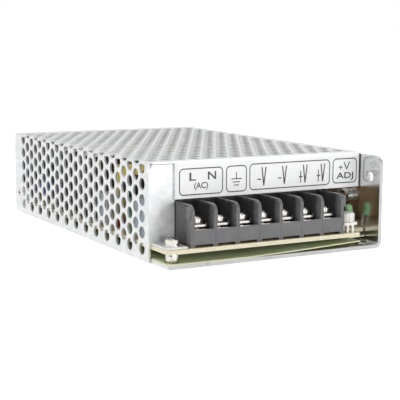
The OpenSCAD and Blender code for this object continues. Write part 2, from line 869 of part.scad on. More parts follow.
module transformer_core() {
    color("#4c4c50") translate([transformer_xy[0], transformer_xy[1], board_top + core_lift]) difference() {
        translate([-core_w / 2, -core_l / 2, 0]) cube([core_w, core_l, core_h]);
        for (side = [-1, 1]) {
            translate([side * (core_w / 4 + limb_w / 8) - window_w / 2, -core_l, yoke_h]) {
                cube([window_w, core_l * 2, core_h - 2 * yoke_h]);
            }
        }
    }
}

module transformer_bobbin() {
    color("#26282a") translate([transformer_xy[0], transformer_xy[1], board_top]) difference() {
        union() {
            translate([-bobbin_base_w / 2, -bobbin_base_w / 2, 0]) {
                cube([bobbin_base_w, bobbin_base_w, bobbin_flange_t]);
            }
            for (z = [core_lift + yoke_h + fit, core_lift + core_h - yoke_h - bobbin_flange_t - 0.7]) {
                translate([-bobbin_w / 2, -bobbin_w / 2, z]) cube([bobbin_w, bobbin_w, bobbin_flange_t]);
            }
        }
        translate([-limb_w / 2 - 1.2, -core_l / 2 - 0.2, 5]) cube([limb_w + 2.4, core_l + 0.4, core_h]);
        for (side = [-1, 1]) {
            translate([side * (core_w / 2 - 1.5) - 3, -core_l / 2 - 0.3, 1.1]) {
                cube([6, core_l + 0.6, core_h]);
            }
        }
    }
}

module transformer_winding() {
    foot_z = board_top + core_lift + yoke_h + bobbin_flange_t + 2 * fit;
    color("#e6c93c") translate([transformer_xy[0], transformer_xy[1], foot_z]) {
        linear_extrude(core_h - 12) difference() {
            rounded_rect(winding_size[0], winding_size[1], winding_r);
            square([limb_w + 2.4, core_l + 1], center = true);
        }
    }
}

module output_choke_core() {
    color("#d8c24a") translate([output_choke_xy[0], output_choke_xy[1], board_top + wire_d + 0.2]) {
        ring(toroid_d, toroid_bore, toroid_h);
    }
}

module output_choke_winding() {
    section_w = (toroid_d - toroid_bore) / 2 + 2 * fit;
    mid_r = (toroid_d + toroid_bore) / 4;
    mid_z = board_top + wire_d + 0.2 + toroid_h / 2;
    color("#b4653a") translate([output_choke_xy[0], output_choke_xy[1], mid_z]) for (i = [0:turns - 1]) {
        rotate(i * 330 / turns + 15) translate([mid_r, wire_d / 2, 0]) rotate([90, 0, 0]) {
            linear_extrude(wire_d) difference() {
                rounded_rect(section_w + 2 * wire_d, toroid_h + 2 * fit + 2 * wire_d, 1.2);
                square([section_w, toroid_h + 2 * fit], center = true);
            }
        }
    }
}

module output_capacitors() {
    color("#5a3a2a") for (p = output_cap_xy) {
        translate([p[0], p[1], board_top]) can(output_can_d, output_can_h);
    }
}

module output_rectifier() {
    color("#2a2a2c") power_package(rectifier_y);
}

module power_transistor() {
    color("#2a2a2c") for (y = transistor_y) power_package(y);
}

module thermal_pads() {
    color("#b9bdb8") for (y = package_y) {
        translate([x_right - chassis_t - pad_t, y, package_z - 1]) difference() {
            translate([0, -pad_w / 2, 0]) cube([pad_t, pad_w, pad_l]);
            translate([-1, 0, package_hole_z - package_z + 1]) rotate([0, 90, 0]) {
                cylinder(d = screw_d + 0.5, h = 3);
            }
        }
    }
}

// Strip that runs from its screw on the wall, steps out and presses on the rectifier's tab
module rectifier_clip() {
    wall_x = x_right - chassis_t;
    out_x = wall_x - pad_t - tab_t;
    step_y = rectifier_y - package_w / 2 - 2.2;
    land_y = rectifier_y - package_w / 2 - slack;
    end_y = rectifier_y + 3;
    color("#c8cacc") difference() {
        union() {
            translate([0, 0, clip_screw[1] - clip_w / 2]) linear_extrude(clip_w) polygon([
                [wall_x, clip_screw[0]], [wall_x, step_y], [out_x, land_y], [out_x, end_y],
                [out_x - clip_t, end_y], [out_x - clip_t, land_y - 0.3], [wall_x - clip_t, step_y - 0.3],
                [wall_x - clip_t, clip_screw[0]]
            ]);
            translate([wall_x - clip_t, clip_screw[0], clip_screw[1]]) rotate([0, 90, 0]) {
                cylinder(d = clip_w, h = clip_t);
            }
        }
        translate([wall_x - 2, clip_screw[0], clip_screw[1]]) rotate([0, 90, 0]) {
            cylinder(d = screw_d + 2 * fit, h = 3);
        }
    }
}

module heat_spreader_screws() {
    color("#d8d4c8") for (i = [0:2]) {
        grip = i == 0 ? clip_t : pad_t + tab_t;
        translate([x_right - chassis_t - grip, inner_screws[i][0], inner_screws[i][1]]) rotate([0, -90, 0]) {
            pan_screw(screw_d - 2 * fit, chassis_t + grip, 5.6, 2.4);
        }
    }
}

module control_chip() {
    color("#1f2022") translate([chip_xy[0], chip_xy[1], board_top]) {
        difference() {
            translate([-3.2, -4.8, 0.6]) cube([6.4, 9.6, 3.3]);
            translate([0, -4.8, 3.4]) cylinder(d = 1.6, h = 2, $fn = 24);
        }
        for (side = [-1, 1], i = [0:3]) {
            translate([side * 3.6 - 0.15, -3.81 + i * 2.54 - 0.4, 0]) cube([0.3, 0.8, 2.2]);
            translate([side * 3.45 - 0.3, -3.81 + i * 2.54 - 0.4, 1.9]) cube([0.6, 0.8, 0.3]);
        }
    }
}

module optocoupler() {
    color("#e9e7df") translate([coupler_xy[0], coupler_xy[1], board_top]) {
        translate([-3.2, -2.3, 0.6]) cube([6.4, 4.6, 3.3]);
        for (side = [-1, 1], i = [-0.5, 0.5]) {
            translate([side * 3.6 - 0.15, i * 2.54 - 0.4, 0]) cube([0.3, 0.8, 2.2]);
            translate([side * 3.45 - 0.3, i * 2.54 - 0.4, 1.9]) cube([0.6, 0.8, 0.3]);
        }
    }
}

module signal_capacitors() {
    color("#2c3f6e") for (p = small_can_places) {
        translate([p[0], control_start + p[1] * control_room, board_top]) can(small_can_d, small_can_h);
    }
}

module resistors() {
    lead = 0.7;
    axis_z = 1.9;
    color("#c9b184") for (p = resistor_places) {
        translate([p[0], control_start + p[1] * control_room, board_top + axis_z]) {
            rotate([0, 90, 0]) translate([0, 0, -p[2] / 2]) cylinder(d = resistor_d, h = p[2], $fn = 32);
            for (side = [-1, 1]) translate([side * (p[2] / 2 + 0.6), 0, -axis_z]) {
                cylinder(d = lead, h = axis_z + 0.3, $fn = 24);
                translate([-side * 0.3 - 0.5, 0, axis_z]) rotate([0, 90, 0]) {
                    cylinder(d = lead, h = 1, $fn = 24);
                }
            }
        }
    }
}

chassis();
mesh_cover();
terminal_label();
corner_screw();
corner_washers();
cover_screws();
board_screws();
board_spacers();
insulating_film();
circuit_board();
terminal_block();
terminal_plates();
trimmer_base();
trimmer_rotor();
indicator_led();
led_leads();
fuse_tube();
fuse_clips();
x_capacitor();
front_film_capacitor();
rear_film_capacitor();
varistor();
thermistor();
line_choke_core();
line_choke_windings();
bulk_capacitors();
bridge_rectifier();
y_capacitor();
snubber_capacitor();
transformer_core();
transformer_bobbin();
transformer_winding();
output_choke_core();
output_choke_winding();
output_capacitors();
output_rectifier();
power_transistor();
thermal_pads();
rectifier_clip();
heat_spreader_screws();
control_chip();
optocoupler();
signal_capacitors();
resistors();
for (i = [1:poles]) {
    clamp_washer(i);
    terminal_screw(i);
}
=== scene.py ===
import math

import bpy
from mathutils import Matrix, Vector


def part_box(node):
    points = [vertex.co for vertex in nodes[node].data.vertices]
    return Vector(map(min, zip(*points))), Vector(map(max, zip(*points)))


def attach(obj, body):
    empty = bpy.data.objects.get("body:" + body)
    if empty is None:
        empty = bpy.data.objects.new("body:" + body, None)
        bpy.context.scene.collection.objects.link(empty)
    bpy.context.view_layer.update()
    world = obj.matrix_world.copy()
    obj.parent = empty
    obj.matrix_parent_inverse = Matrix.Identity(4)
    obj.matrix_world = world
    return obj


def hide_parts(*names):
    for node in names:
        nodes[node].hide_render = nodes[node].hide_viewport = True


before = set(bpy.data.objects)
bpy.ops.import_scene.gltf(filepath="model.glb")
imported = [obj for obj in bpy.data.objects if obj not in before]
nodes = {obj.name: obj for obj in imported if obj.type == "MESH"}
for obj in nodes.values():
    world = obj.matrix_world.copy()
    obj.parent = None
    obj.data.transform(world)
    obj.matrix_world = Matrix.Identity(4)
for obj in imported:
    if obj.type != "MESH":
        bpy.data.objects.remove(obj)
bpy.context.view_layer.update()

scene = bpy.context.scene
mm = 0.001

# ---- Studio ----
# A long lens from the front left looks a little down on the case, so that the
# terminals face it and the perforated side runs away from it. The room is white.
camera_place = Vector((-0.2246, -0.4172, 0.0816))
camera_turn = math.radians(-29.29)
camera_drop = math.radians(8.32)
camera_roll = math.radians(0.39)
camera_data = bpy.data.cameras.new("camera")
camera_data.lens = 96.68
camera_data.sensor_width = 36
camera_data.clip_start = 0.01
camera_data.clip_end = 50
camera = bpy.data.objects.new("camera", camera_data)
scene.collection.objects.link(camera)
aim = Matrix.Rotation(camera_turn, 4, "Z") @ Matrix.Rotation(math.pi / 2 - camera_drop, 4, "X")
camera.matrix_world = Matrix.Translation(camera_place) @ aim @ Matrix.Rotation(camera_roll, 4, "Z")
scene.camera = camera
scene.view_settings.view_transform = "Standard"


def soft_lamp(name, place, target, size, power):
    """A rectangular area lamp at place that faces target."""
    data = bpy.data.lights.new(name, "AREA")
    data.shape = "RECTANGLE"
    data.size, data.size_y = size
    data.energy = power
    lamp = bpy.data.objects.new(name, data)
    scene.collection.objects.link(lamp)
    aimed = (Vector(target) - Vector(place)).to_track_quat("-Z", "Y")
    lamp.matrix_world = Matrix.Translation(place) @ aimed.to_matrix().to_4x4()


soft_lamp("key", (-0.45, -0.25, 0.85), (0, 0, 0.02), (0.5, 0.5), 2.0)
soft_lamp("front", (0.55, -0.90, 0.26), (0, -0.06, 0.02), (0.35, 0.30), 2.2)
soft_lamp("low", (-0.15, -0.90, 0.07), (0, -0.06, 0.01), (0.30, 0.10), 1.1)


def feed(tree, socket, value):
    """Links the socket to value if that is a socket too, and otherwise sets it."""
    if isinstance(value, bpy.types.NodeSocket):
        tree.links.new(value, socket)
    else:
        socket.default_value = value


def node_of(tree, kind, *values, **settings):
    """A node with these settings and with its inputs fed in order. None leaves one out."""
    made = tree.nodes.new(kind)
    for key, value in settings.items():
        setattr(made, key, value)
    for socket, value in zip(made.inputs, values):
        if value is not None:
            feed(tree, socket, value)
    return made


def axis_of(tree, vector, axis):
    """One axis of a vector."""
    return node_of(tree, "ShaderNodeSeparateXYZ", vector).outputs[axis]


def spread(tree, value, low, high, out_low, out_high):
    """value between low and high, mapped to between out_low and out_high."""
    return node_of(tree, "ShaderNodeMapRange", value, low, high, out_low, out_high).outputs["Result"]


# The room is darker towards the front, which shapes the light on the bright metal.
# What the camera sees of the room itself is plain white.
world = bpy.data.worlds.new("studio")
scene.world = world
world.use_nodes = True
tree = world.node_tree
room_place = tree.nodes.new("ShaderNodeTexCoord").outputs["Generated"]
front_shade = spread(tree, axis_of(tree, room_place, "Y"), -0.75, 0.25, 0.25, 0.95)
front_shade.node.interpolation_type = "SMOOTHSTEP"
seen = tree.nodes.new("ShaderNodeLightPath").outputs["Is Camera Ray"]
backdrop = node_of(tree, "ShaderNodeMix", seen, None, front_shade, 1.0).outputs["Result"]
background = tree.nodes["Background"]
background.inputs["Color"].default_value = (1, 1, 1, 1)
tree.links.new(backdrop, background.inputs["Strength"])


def new_material(name, color, metallic, roughness):
    """A material with one Principled BSDF set to these values, its node tree and that shader."""
    made = bpy.data.materials.new(name)
    made.use_nodes = True
    shader = made.node_tree.nodes["Principled BSDF"]
    shader.inputs["Base Color"].default_value = (*color, 1)
    shader.inputs["Metallic"].default_value = metallic
    shader.inputs["Roughness"].default_value = roughness
    return made, made.node_tree, shader


def millimetres(tree, stretch=(1, 1, 1)):
    """Object coordinates in millimetres, multiplied by stretch on each axis."""
    place = tree.nodes.new("ShaderNodeTexCoord").outputs["Object"]
    scale = [s / mm for s in stretch]
    return node_of(tree, "ShaderNodeMapping", place, None, None, scale).outputs["Vector"]


def noise(tree, vector, scale, detail=2.0):
    """Fractal noise, scale in cycles per millimetre."""
    return node_of(tree, "ShaderNodeTexNoise", vector, None, scale, detail).outputs["Fac"]


floor_half = 6.0
floor_corners = [(x * floor_half, y * floor_half, 0) for x, y in ((-1, -1), (1, -1), (1, 1), (-1, 1))]
floor_mesh = bpy.data.meshes.new("floor")
floor_mesh.from_pydata(floor_corners, [], [(0, 1, 2, 3)])
floor = bpy.data.objects.new("floor", floor_mesh)
scene.collection.objects.link(floor)
floor_paper, tree, shader = new_material("floor_paper", (0.93, 0.93, 0.93), 0.0, 0.6)
tooth = noise(tree, millimetres(tree), 0.01)
tree.links.new(spread(tree, tooth, 0.3, 0.7, 0.55, 0.65), shader.inputs["Roughness"])
shader.inputs["Emission Color"].default_value = (1, 1, 1, 1)
seen = tree.nodes.new("ShaderNodeLightPath").outputs["Is Camera Ray"]
tree.links.new(spread(tree, seen, 0, 1, 0.3, 0.45), shader.inputs["Emission Strength"])
floor_mesh.materials.append(floor_paper)

# ---- Folded aluminium chassis ----
# One sheet of bright rolled aluminium, folded up into the base, the right wall and
# the rear wall. Fine rolling lines run along it, and handling has left smudges and
# short scratches, most of them near its sheared and duller front edge.


def two_tone(tree, mask, first, second):
    """first where mask is 0, second where it is 1. Each is a colour or a colour socket."""
    made = node_of(tree, "ShaderNodeMix", mask, data_type="RGBA")
    for socket, tone in (("A", first), ("B", second)):
        feed(tree, made.inputs[socket], (*tone, 1) if isinstance(tone, tuple) else tone)
    return made.outputs["Result"]


def maths(tree, operation, *values):
    """The values, each a number or a socket, through one math operation."""
    return node_of(tree, "ShaderNodeMath", *values, operation=operation).outputs["Value"]


def vector_maths(tree, operation, *values):
    """The same with vectors."""
    return node_of(tree, "ShaderNodeVectorMath", *values, operation=operation).outputs["Vector"]


def facing(tree, axis):
    """How far the surface faces along one axis of the piece, from -1 to 1."""
    normal = tree.nodes.new("ShaderNodeTexCoord").outputs["Normal"]
    return axis_of(tree, normal, axis)


def roughen(tree, shader, height, depth, strength):
    """Bump from height, depth in metres."""
    bump = tree.nodes.new("ShaderNodeBump")
    bump.inputs["Distance"].default_value = depth
    bump.inputs["Strength"].default_value = strength
    tree.links.new(height, bump.inputs["Height"])
    tree.links.new(bump.outputs["Normal"], shader.inputs["Normal"])


def new_group(kind, name, inputs, outputs):
    """A node group, its sockets named under their types. Returns it, its inputs and its outputs."""
    group = bpy.data.node_groups.new(name, kind)
    for in_out, sockets in (("INPUT", inputs), ("OUTPUT", outputs)):
        for value_type, names in sockets.items():
            for socket in names:
                group.interface.new_socket(socket, in_out=in_out, socket_type="NodeSocket" + value_type)
    return group, group.nodes.new("NodeGroupInput").outputs, group.nodes.new("NodeGroupOutput").inputs


def placed(tree, group, *values):
    """A shader group placed in a material, its inputs fed in order. Returns its outputs."""
    return node_of(tree, "ShaderNodeGroup", *values, node_tree=group).outputs


def sheet_wear_group():
    """Handling marks on sheet metal: smudges, and hairline scratches that fade in patches."""
    group, given, result = new_group(
        "ShaderNodeTree", "sheet_wear",
        {"Vector": ("Vector",), "Float": ("Smudge Scale", "Scratch Scale", "Scratch Width")},
        {"Float": ("Smudge", "Scratch")})
    vector = given["Vector"]
    group.links.new(noise(group, vector, given["Smudge Scale"], 4), result["Smudge"])
    drift = noise(group, vector, 0.03).node.outputs["Color"]
    bend = 18
    bent = vector_maths(group, "MULTIPLY_ADD", drift, (bend, bend, bend), vector)
    cells = node_of(
        group, "ShaderNodeTexVoronoi", bent, None, given["Scratch Scale"], feature="DISTANCE_TO_EDGE")
    line = spread(group, cells.outputs["Distance"], 0, given["Scratch Width"], 1, 0)
    fade = spread(group, noise(group, vector, 0.09), 0.5, 0.62, 0, 1)
    group.links.new(maths(group, "MULTIPLY", line, fade), result["Scratch"])
    return group


def dress(node, material, bevel=0.0):
    """Gives a CAD node its finish and, where bevel is set, soft edges of that width."""
    slots = nodes[node].data.materials
    slots.clear()
    slots.append(material)
    if bevel:
        weld = nodes[node].modifiers.new("weld", "WELD")
        weld.merge_threshold = 0.01 * mm
        edge = nodes[node].modifiers.new("edge", "BEVEL")
        edge.width = bevel
        edge.segments = 2
        edge.limit_method = "ANGLE"
        edge.angle_limit = math.radians(40)
        edge.harden_normals = True


sheet_wear = sheet_wear_group()
mill_aluminium, tree, shader = new_material("mill_aluminium", (0.84, 0.85, 0.86), 1.0, 0.2)
vector = millimetres(tree)
rolling = noise(tree, millimetres(tree, (2.5, 0.04, 2.5)), 1.0, 3)
smudge, scratch = placed(tree, sheet_wear, vector, 0.06, 0.11, 0.03)
front_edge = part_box("chassis")[0].y / mm
handled_length = 22
near_front = spread(tree, axis_of(tree, vector, "Y"), front_edge, front_edge + handled_length, 1, 0.15)
scored = maths(tree, "MULTIPLY", scratch, near_front)
sheared = spread(tree, facing(tree, "Y"), -0.95, -0.8, 1, 0)
haze = spread(tree, smudge, 0.35, 0.7, 0.13, 0.26)
dull = maths(tree, "MULTIPLY", maths(tree, "ADD", scored, sheared), 0.35)
tree.links.new(maths(tree, "ADD", haze, dull), shader.inputs["Roughness"])
tone = two_tone(tree, spread(tree, rolling, 0.3, 0.7, 0, 1), (0.70, 0.705, 0.71), (0.82, 0.825, 0.83))
tone = two_tone(tree, sheared, tone, (0.55, 0.55, 0.545))
tree.links.new(two_tone(tree, scored, tone, (0.52, 0.52, 0.52)), shader.inputs["Base Color"])
roughen(tree, shader, maths(tree, "SUBTRACT", rolling, scored), 0.02 * mm, 0.35)
dress("chassis", mill_aluminium, 0.12 * mm)

# ---- Insulating film ----
# A sheet of milky polyester, 0.3 mm thick, laid on the base and curled up under the
# right of the board. It keeps the solder side away from the metal.


def soft_patches_group():
    """A mask from 0 to 1 in soft patches."""
    group, given, result = new_group(
        "ShaderNodeTree", "soft_patches",
        {"Vector": ("Vector",), "Float": ("Scale", "Detail")}, {"Float": ("Mask",)})
    cloud = noise(group, given["Vector"], given["Scale"], given["Detail"])
    group.links.new(spread(group, cloud, 0.3, 0.7, 0, 1), result["Mask"])
    return group


soft_patches = soft_patches_group()
milky_film, tree, shader = new_material("milky_film", (0.86, 0.90, 0.70), 0.0, 0.5)
shader.inputs["Specular IOR Level"].default_value = 0.15
vector = millimetres(tree)
cloud = placed(tree, soft_patches, vector, 0.05, 4)["Mask"]
tree.links.new(two_tone(tree, cloud, (0.90, 0.88, 0.56), (0.97, 0.96, 0.72)), shader.inputs["Base Color"])
tree.links.new(spread(tree, cloud, 0, 1, 0.45, 0.6), shader.inputs["Roughness"])
roughen(tree, shader, noise(tree, vector, 0.12), 0.2 * mm, 0.3)
dress("insulating_film", milky_film)

# ---- Spacers and board screws ----
# Turned brass spacers, nickel plated, carry the board above the base. Its screws are
# plated the same, and pass through the board into them.
nickel, tree, shader = new_material("bright_nickel", (0.83, 0.80, 0.755), 1.0, 0.18)
smudge, scratch = placed(tree, sheet_wear, millimetres(tree), 0.5, 0.4, 0.02)
tree.links.new(spread(tree, smudge, 0.3, 0.7, 0.08, 0.24), shader.inputs["Roughness"])
polish = spread(tree, smudge, 0.35, 0.65, 0, 1)
tree.links.new(two_tone(tree, polish, (0.66, 0.63, 0.58), (0.80, 0.78, 0.745)), shader.inputs["Base Color"])
roughen(tree, shader, maths(tree, "SUBTRACT", 1.0, scratch), 0.01 * mm, 0.5)
dress("board_spacers", nickel, 0.08 * mm)
dress("board_screws", nickel)

# ---- Circuit board ----
# Paper laminate, 1.6 mm thick: bare and tan on the component side, pale along its
# sawn edge, and below it dark green solder mask over the copper tracks.
board_laminate, tree, shader = new_material("board_laminate", (0.75, 0.62, 0.36), 0.0, 0.5)
up = facing(tree, "Z")
fibre = noise(tree, millimetres(tree, (1, 1, 8)), 0.6, 3)
bare_tone = two_tone(tree, spread(tree, fibre, 0.35, 0.65, 0, 1), (0.50, 0.40, 0.21), (0.66, 0.55, 0.33))
edge_tone = two_tone(tree, spread(tree, fibre, 0.3, 0.7, 0, 1), (0.66, 0.60, 0.42), (0.84, 0.79, 0.62))
tracks = node_of(tree, "ShaderNodeTexBrick", millimetres(tree))
track_sizes = {
    "Scale": 0.11, "Mortar Size": 0.06, "Mortar Smooth": 0.0, "Brick Width": 1.1, "Row Height": 0.45}
for name, size in track_sizes.items():
    tracks.inputs[name].default_value = size
between_tracks = spread(tree, tracks.outputs["Fac"], 0.4, 0.6, 0, 1)
mask_tone = two_tone(tree, between_tracks, (0.20, 0.33, 0.13), (0.12, 0.22, 0.08))
tone = two_tone(tree, spread(tree, up, 0.4, 0.6, 0, 1), edge_tone, bare_tone)
tone = two_tone(tree, spread(tree, up, -0.6, -0.4, 1, 0), tone, mask_tone)
tree.links.new(tone, shader.inputs["Base Color"])
tree.links.new(spread(tree, fibre, 0.3, 0.7, 0.38, 0.55), shader.inputs["Roughness"])
roughen(tree, shader, fibre, 0.05 * mm, 0.4)
dress("circuit_board", board_laminate)
board_low, board_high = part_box("circuit_board")

# ---- Input filter ----
# The fuse in its clips, box film capacitors in moulded cases, a dipped varistor and
# thermistor, and the line choke. Each is soldered to the board by its leads.


def moulding_skin_group():
    """The skin of moulded plastic: a slow drift in its shade, and a fine grain."""
    group, given, result = new_group(
        "ShaderNodeTree", "moulding_skin",
        {"Vector": ("Vector",), "Float": ("Grain Scale",)}, {"Float": ("Drift", "Grain")})
    drift = noise(group, given["Vector"], 0.12, 3)
    group.links.new(spread(group, drift, 0.3, 0.7, 0, 1), result["Drift"])
    group.links.new(noise(group, given["Vector"], given["Grain Scale"]), result["Grain"])
    return group


moulding_skin = moulding_skin_group()
shade_drift = 0.12


def moulded(name, color, roughness, grain_scale=1.2, grain_depth=0.02 * mm):
    """Moulded plastic in this colour, its shade drifting to both sides of it."""
    made, tree, shader = new_material(name, color, 0.0, roughness)
    drift, grain = placed(tree, moulding_skin, millimetres(tree), grain_scale)
    dark = tuple(c * (1 - shade_drift) for c in color)
    light = tuple(c * (1 + shade_drift) for c in color)
    tree.links.new(two_tone(tree, drift, dark, light), shader.inputs["Base Color"])
    sheen = spread(tree, grain, 0.3, 0.7, roughness * 0.85, roughness * 1.15)
    tree.links.new(sheen, shader.inputs["Roughness"])
    roughen(tree, shader, grain, grain_depth, 0.5)
    return made


tinned, tree, shader = new_material("tinned_wire", (0.72, 0.72, 0.70), 1.0, 0.35)
dull = placed(tree, soft_patches, millimetres(tree), 1.5, 2)["Mask"]
tree.links.new(spread(tree, dull, 0, 1, 0.25, 0.5), shader.inputs["Roughness"])
tree.links.new(two_tone(tree, dull, (0.78, 0.78, 0.76), (0.62, 0.62, 0.60)), shader.inputs["Base Color"])
dress("fuse_tube", moulded("fuse_ceramic", (0.80, 0.80, 0.76), 0.4))
dress("fuse_clips", tinned)
dress("x_capacitor", moulded("yellow_case", (0.80, 0.66, 0.10), 0.45), 0.4 * mm)
grey_blue = moulded("grey_blue_case", (0.45, 0.55, 0.64), 0.45)
dress("front_film_capacitor", grey_blue, 0.4 * mm)
dress("rear_film_capacitor", grey_blue, 0.4 * mm)
dress("varistor", moulded("green_dip", (0.09, 0.25, 0.11), 0.4))
dress("thermistor", moulded("black_dip", (0.03, 0.03, 0.033), 0.5))
ferrite = moulded("ferrite", (0.07, 0.07, 0.075), 0.55)
dress("line_choke_core", ferrite, 0.3 * mm)


def enamelled_copper(name):
    """Enamelled wire in lighter and darker patches. Returns the material's parts and its tone."""
    made, tree, shader = new_material(name, (0.72, 0.33, 0.16), 0.5, 0.28)
    patch = placed(tree, soft_patches, millimetres(tree), 0.8, 2)["Mask"]
    tone = two_tone(tree, patch, (0.58, 0.25, 0.12), (0.86, 0.48, 0.28))
    tree.links.new(tone, shader.inputs["Base Color"])
    return made, tree, shader, tone


section_wound, tree, shader, tone = enamelled_copper("section_wound_copper")
turns_per_mm = 2.0
base_top = board_high.z / mm + 1.5
height = axis_of(tree, millimetres(tree), "Z")
# The turns are a ridged bump along the height. The grooves between them are painted dark copper as painted
# shade.
wave = maths(tree, "SINE", maths(tree, "MULTIPLY", height, turns_per_mm * math.pi))
wave = maths(tree, "ABSOLUTE", wave)
tone = two_tone(tree, spread(tree, wave, 0, 0.35, 0, 1), (0.22, 0.08, 0.04), tone)
above_base = spread(tree, height, base_top, base_top + 0.05, 0, 1)
tree.links.new(two_tone(tree, above_base, (0.02, 0.02, 0.02), tone), shader.inputs["Base Color"])
tree.links.new(maths(tree, "MULTIPLY", above_base, 0.5), shader.inputs["Metallic"])
roughen(tree, shader, wave, 0.2 * mm, 0.6)
dress("line_choke_windings", section_wound)

# ---- Bridge rectifier and bulk capacitors ----
# The bridge is a flat package cast in black epoxy. The two bulk capacitors are
# aluminium cans in a dark shrink sleeve, open over the scored top.


def shrink_sleeve_group():
    """A sleeve on a can: its side band, the bare metal of the can's top, and its wrinkles."""
    group, given, result = new_group(
        "ShaderNodeTree", "shrink_sleeve",
        {"Vector": ("Vector",), "Float": ("Can Top",)}, {"Float": ("Band", "Bare", "Wrinkle")})
    vector = given["Vector"]
    round_can = noise(group, vector_maths(group, "MULTIPLY", vector, (1, 1, 0)), 0.09, 0)
    group.links.new(spread(group, round_can, 0.6, 0.61, 0, 1), result["Band"])
    over_top = maths(group, "SUBTRACT", axis_of(group, vector, "Z"), given["Can Top"])
    group.links.new(spread(group, over_top, -0.4, -0.3, 0, 1), result["Bare"])
    drawn_up = vector_maths(group, "MULTIPLY", vector, (1, 1, 0.3))
    group.links.new(noise(group, drawn_up, 0.5, 3), result["Wrinkle"])
    return group


shrink_sleeve = shrink_sleeve_group()


def dress_cans(node, name, color, band_color):
    """Gives cans a glossy shrink sleeve with a paler side band, and leaves their tops bare."""
    made, tree, shader = new_material(name, color, 0.0, 0.25)
    band, bare, wrinkle = placed(tree, shrink_sleeve, millimetres(tree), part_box(node)[1].z / mm)
    sleeve = two_tone(tree, band, color, band_color)
    tree.links.new(two_tone(tree, bare, sleeve, (0.75, 0.75, 0.76)), shader.inputs["Base Color"])
    tree.links.new(bare, shader.inputs["Metallic"])
    tree.links.new(spread(tree, wrinkle, 0.3, 0.7, 0.18, 0.36), shader.inputs["Roughness"])
    roughen(tree, shader, wrinkle, 0.1 * mm, 0.3)
    dress(node, made)


black_resin = moulded("black_resin", (0.025, 0.025, 0.027), 0.5)
dress("bridge_rectifier", black_resin)
dress_cans("bulk_capacitors", "dark_sleeve", (0.035, 0.032, 0.045), (0.30, 0.30, 0.32))
dress("y_capacitor", moulded("blue_dip", (0.03, 0.16, 0.50), 0.35))
dress("snubber_capacitor", moulded("red_dip", (0.45, 0.04, 0.03), 0.35))

# ---- Transformer ----
# A two-part ferrite core clamped round a moulded bobbin. The winding lies under
# turns of yellow polyester tape, and its pins are soldered to the board.
dress("transformer_core", ferrite, 0.3 * mm)
dress("transformer_bobbin", black_resin)
dress("transformer_winding", moulded("yellow_tape", (0.83, 0.64, 0.08), 0.3, 0.4, 0.05 * mm))

# ---- Power packages on the wall ----
# Two switching transistors and the output rectifier lie on grey silicone pads against
# the wall. Screws through their tabs and one zinc-plated strip hold them there.
dress("power_transistor", black_resin)
dress("output_rectifier", black_resin)
dress("thermal_pads", moulded("grey_pad", (0.42, 0.44, 0.42), 0.6))
dress("rectifier_clip", tinned, 0.08 * mm)
dress("heat_spreader_screws", nickel)

# ---- Output choke and output capacitors ----
# A painted iron-powder ring wound with thick enamelled wire, one open sector between
# the two ends. Beside it stand three capacitors in brown sleeves.


def grown(name, group, values):
    """The plain mesh object that the group makes with these named values."""
    seed_mesh = bpy.data.meshes.new(name)
    obj = bpy.data.objects.new(name, seed_mesh)
    scene.collection.objects.link(obj)
    live = obj.modifiers.new("grow", "NODES")
    live.node_group = group
    sockets = {item.name: item.identifier for item in group.interface.items_tree if item.in_out == "INPUT"}
    for key, value in values.items():
        live[sockets[key]] = value
    view = bpy.context.evaluated_depsgraph_get()
    baked = bpy.data.meshes.new_from_object(obj.evaluated_get(view), depsgraph=view)
    obj.modifiers.remove(live)
    obj.data = baked
    baked.name = name
    bpy.data.meshes.remove(seed_mesh)
    return obj


def scaled(group, vector, factor):
    """A vector times a number."""
    made = node_of(group, "ShaderNodeVectorMath", vector, operation="SCALE")
    feed(group, made.inputs["Scale"], factor)
    return made.outputs["Vector"]


def random_between(group, low, high, seed):
    """A random number for each point."""
    made = group.nodes.new("FunctionNodeRandomValue")
    for name, value in (("Min", low), ("Max", high), ("Seed", seed)):
        feed(group, made.inputs[name], value)
    return made.outputs["Value"]


def copied(group, shape, count, spot, rotation, scale=None):
    """Copies of shape at each point's spot, made into real geometry."""
    points = node_of(group, "GeometryNodePoints", count, spot).outputs[0]
    copies = node_of(
        group, "GeometryNodeInstanceOnPoints", points, None, shape, None, None, rotation, scale)
    return node_of(group, "GeometryNodeRealizeInstances", copies.outputs[0]).outputs[0]


